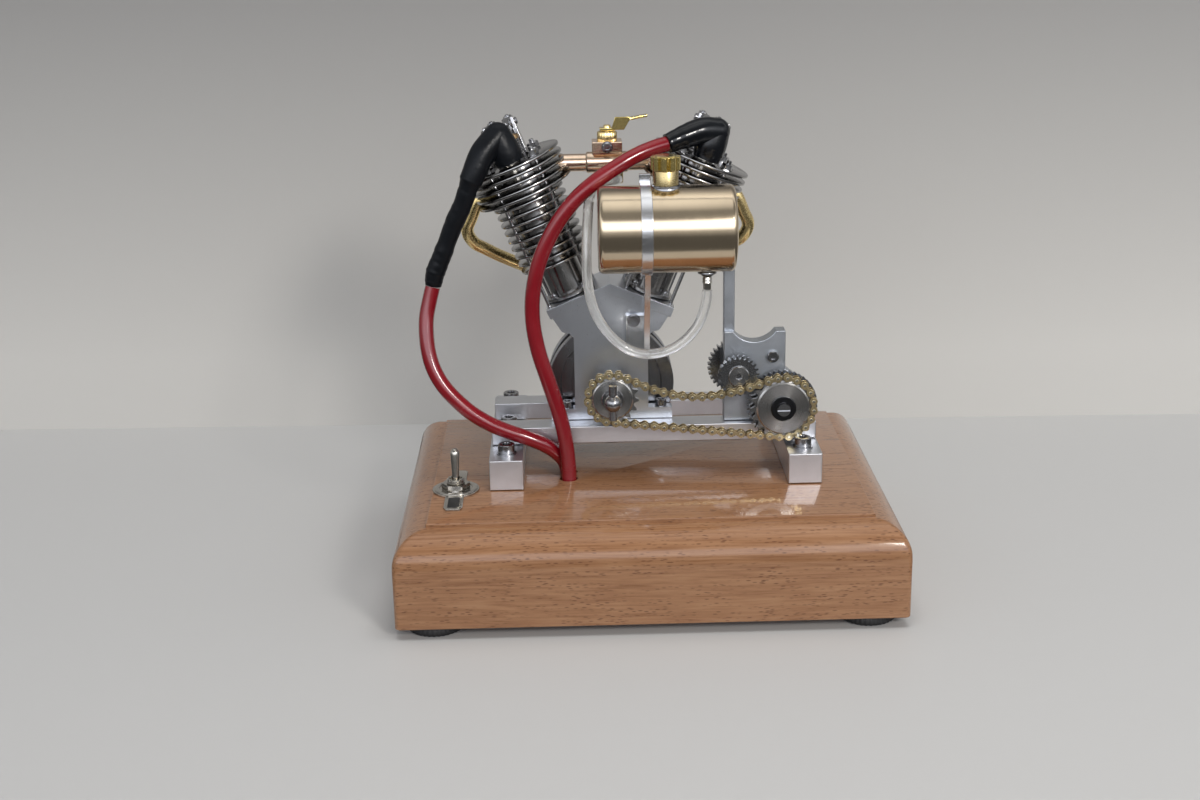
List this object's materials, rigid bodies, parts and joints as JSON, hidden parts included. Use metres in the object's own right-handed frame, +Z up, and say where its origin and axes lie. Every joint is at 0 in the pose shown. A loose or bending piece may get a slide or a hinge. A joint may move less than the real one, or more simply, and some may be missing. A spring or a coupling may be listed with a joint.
{
  "type": "model engine",
  "caption": "Miniature air-cooled V-twin overhead-valve petrol engine on a varnished wooden base, with brass tank, chain-driven starter gearing, plug leads and toggle switch.",
  "frame": {"origin": "centre of the base on the surface the feet stand on", "axes": "+Z up, +X to the right seen from the chain side, +Y from the chain side to the timing-gear side"},
  "size_m": [0.16, 0.124, 0.1508],
  "materials": {
    "wood": "clear gloss varnish on beech",
    "cover_board": "plain board",
    "module_plastic": "moulded",
    "foot_rubber": "ribbed",
    "aluminium": "machined",
    "case_aluminium": "satin machined",
    "steel": "turned",
    "dark_steel": "polished dark",
    "gear_steel": "cut teeth",
    "chain_brass": "plated links",
    "tank_brass": "satin turned",
    "brass": "polished",
    "manifold_brass": "rose polished",
    "cap_rubber": "glossy heat shrunk",
    "nickel": "nickel plated",
    "lead_silicone": "glossy red silicone",
    "hose_silicone": "translucent silicone"
  },
  "bodies": {
    "frame": {"back_rail": "aluminium", "bottom_cover": "cover_board", "carburettor_body": "manifold_brass", "crankcase": "case_aluminium", "cross_foot_left": "aluminium", "cross_foot_right": "aluminium", "cylinder_head_left": "dark_steel", "cylinder_head_right": "dark_steel", "cylinder_left": "dark_steel", "cylinder_right": "dark_steel", "drive_chain": "chain_brass", "exhaust_pipe_left": "brass", "exhaust_pipe_right": "brass", "front_rail": "aluminium", "fuel_hose": "hose_silicone", "fuel_tank": "tank_brass", "ht_lead_left": "lead_silicone", "ht_lead_right": "lead_silicone", "ignition_module": "module_plastic", "intake_manifold": "manifold_brass", "motor_bracket": "case_aluminium", "plug_cap_left": "cap_rubber", "plug_cap_right": "cap_rubber", "rocker_stand_left": "steel", "rocker_stand_right": "steel", "rubber_foot_back_left": "foot_rubber", "rubber_foot_back_right": "foot_rubber", "rubber_foot_front_left": "foot_rubber", "rubber_foot_front_right": "foot_rubber", "spark_plug_left": "nickel", "spark_plug_right": "nickel", "tank_bracket": "aluminium", "toggle_switch": "nickel", "wooden_base": "wood"},
    "crank": {"crank_front_half": "steel", "crank_rear_half": "steel", "crank_sprocket": "steel"},
    "camshaft": {"camshaft_gear": "gear_steel"},
    "drive": {"drive_sprocket": "steel"},
    "starter": {"starter_gear": "gear_steel"},
    "idler": {"idler_gear": "gear_steel"},
    "throttle": {"throttle_lever": "brass"},
    "toggle": {"toggle_lever": "nickel"},
    "cap": {"filler_cap": "brass"},
    "piston_set_left": {"piston_left": "aluminium", "connecting_rod_left": "steel"},
    "rocker_intake_left": {"intake_rocker_left": "gear_steel"},
    "valve_intake_left": {"intake_valve_left": "steel"},
    "pushrod_intake_left": {"intake_pushrod_left": "steel"},
    "rocker_exhaust_left": {"exhaust_rocker_left": "gear_steel"},
    "valve_exhaust_left": {"exhaust_valve_left": "steel"},
    "pushrod_exhaust_left": {"exhaust_pushrod_left": "steel"},
    "piston_set_right": {"piston_right": "aluminium", "connecting_rod_right": "steel"},
    "rocker_intake_right": {"intake_rocker_right": "gear_steel"},
    "valve_intake_right": {"intake_valve_right": "steel"},
    "pushrod_intake_right": {"intake_pushrod_right": "steel"},
    "rocker_exhaust_right": {"exhaust_rocker_right": "gear_steel"},
    "valve_exhaust_right": {"exhaust_valve_right": "steel"},
    "pushrod_exhaust_right": {"exhaust_pushrod_right": "steel"}
  },
  "joints": [
    {"name": "crank_spin", "type": "hinge", "parent": "frame", "child": "crank", "pos_m": [-0.0104, 0.009, 0.0618], "axis": [0, 1, 0], "continuous": true},
    {"name": "camshaft_spin", "type": "hinge", "parent": "frame", "child": "camshaft", "pos_m": [-0.0104, 0.02, 0.0762], "axis": [0, 1, 0], "continuous": true},
    {"name": "drive_spin", "type": "hinge", "parent": "frame", "child": "drive", "pos_m": [0.0453, -0.0135, 0.0575], "axis": [0, 1, 0], "continuous": true},
    {"name": "starter_spin", "type": "hinge", "parent": "frame", "child": "starter", "pos_m": [0.0453, -0.0105, 0.0575], "axis": [0, 1, 0], "continuous": true},
    {"name": "idler_spin", "type": "hinge", "parent": "frame", "child": "idler", "pos_m": [0.031, -0.0105, 0.06776], "axis": [0, 1, 0], "continuous": true},
    {"name": "piston_left_stroke", "type": "slide", "parent": "frame", "child": "piston_set_left", "axis": [-0.3827, 0, 0.9239], "range_m": [-0.01435, 0.00065]},
    {"name": "intake_rocker_left_tilt", "type": "hinge", "parent": "frame", "child": "rocker_intake_left", "pos_m": [-0.04266, 0.0175, 0.14726], "axis": [0.9239, 0, 0.3827], "range_deg": [0, 9]},
    {"name": "intake_valve_left_lift", "type": "slide", "parent": "frame", "child": "valve_intake_left", "axis": [0.3827, 0, -0.9239], "range_m": [0, 0.0015]},
    {"name": "intake_pushrod_left_lift", "type": "slide", "parent": "frame", "child": "pushrod_intake_left", "axis": [-0.4235, 0, 0.9059], "range_m": [0, 0.00142], "stiffness_N_per_m": 3},
    {"name": "exhaust_rocker_left_tilt", "type": "hinge", "parent": "frame", "child": "rocker_exhaust_left", "pos_m": [-0.04802, 0.0175, 0.14504], "axis": [0.9239, 0, 0.3827], "range_deg": [0, 9]},
    {"name": "exhaust_valve_left_lift", "type": "slide", "parent": "frame", "child": "valve_exhaust_left", "axis": [0.3827, 0, -0.9239], "range_m": [0, 0.0015]},
    {"name": "exhaust_pushrod_left_lift", "type": "slide", "parent": "frame", "child": "pushrod_exhaust_left", "axis": [-0.4221, 0, 0.9065], "range_m": [0, 0.00142], "stiffness_N_per_m": 3},
    {"name": "piston_right_stroke", "type": "slide", "parent": "frame", "child": "piston_set_right", "axis": [0.3827, 0, 0.9239], "range_m": [-0.01435, 0.00065]},
    {"name": "intake_rocker_right_tilt", "type": "hinge", "parent": "frame", "child": "rocker_intake_right", "pos_m": [0.02186, 0.0175, 0.14726], "axis": [0.9239, 0, -0.3827], "range_deg": [0, 9]},
    {"name": "intake_valve_right_lift", "type": "slide", "parent": "frame", "child": "valve_intake_right", "axis": [-0.3827, 0, -0.9239], "range_m": [0, 0.0015]},
    {"name": "intake_pushrod_right_lift", "type": "slide", "parent": "frame", "child": "pushrod_intake_right", "axis": [0.4235, 0, 0.9059], "range_m": [0, 0.00142], "stiffness_N_per_m": 3},
    {"name": "exhaust_rocker_right_tilt", "type": "hinge", "parent": "frame", "child": "rocker_exhaust_right", "pos_m": [0.02722, 0.0175, 0.14504], "axis": [0.9239, 0, -0.3827], "range_deg": [0, 9]},
    {"name": "exhaust_valve_right_lift", "type": "slide", "parent": "frame", "child": "valve_exhaust_right", "axis": [-0.3827, 0, -0.9239], "range_m": [0, 0.0015]},
    {"name": "exhaust_pushrod_right_lift", "type": "slide", "parent": "frame", "child": "pushrod_exhaust_right", "axis": [0.4221, 0, 0.9065], "range_m": [0, 0.00142], "stiffness_N_per_m": 3},
    {"name": "throttle_turn", "type": "hinge", "parent": "frame", "child": "throttle", "pos_m": [-0.0103, 0.009, 0.146], "axis": [0, 0, 1], "range_deg": [-60, 25]},
    {"name": "toggle_throw", "type": "hinge", "parent": "frame", "child": "toggle", "pos_m": [-0.062, -0.0224, 0.0372], "axis": [1, 0, 0], "range_deg": [0, 20]},
    {"name": "filler_cap_lift", "type": "slide", "parent": "frame", "child": "cap", "axis": [0, 0, 1], "range_m": [0, 0.01]}
  ],
  "couplings": [
    {"joint": "camshaft_spin", "follows": "crank_spin", "ratio": -0.5},
    {"joint": "drive_spin", "follows": "crank_spin", "ratio": 0.8},
    {"joint": "idler_spin", "follows": "starter_spin", "ratio": -1.75},
    {"joint": "intake_rocker_left_tilt", "follows": "intake_pushrod_left_lift", "rad_per_m": 109.89},
    {"joint": "intake_valve_left_lift", "follows": "intake_pushrod_left_lift", "ratio": 1.044},
    {"joint": "exhaust_rocker_left_tilt", "follows": "exhaust_pushrod_left_lift", "rad_per_m": 109.89},
    {"joint": "exhaust_valve_left_lift", "follows": "exhaust_pushrod_left_lift", "ratio": 1.044},
    {"joint": "intake_rocker_right_tilt", "follows": "intake_pushrod_right_lift", "rad_per_m": 109.89},
    {"joint": "intake_valve_right_lift", "follows": "intake_pushrod_right_lift", "ratio": 1.044},
    {"joint": "exhaust_rocker_right_tilt", "follows": "exhaust_pushrod_right_lift", "rad_per_m": 109.89},
    {"joint": "exhaust_valve_right_lift", "follows": "exhaust_pushrod_right_lift", "ratio": 1.044}
  ]
}
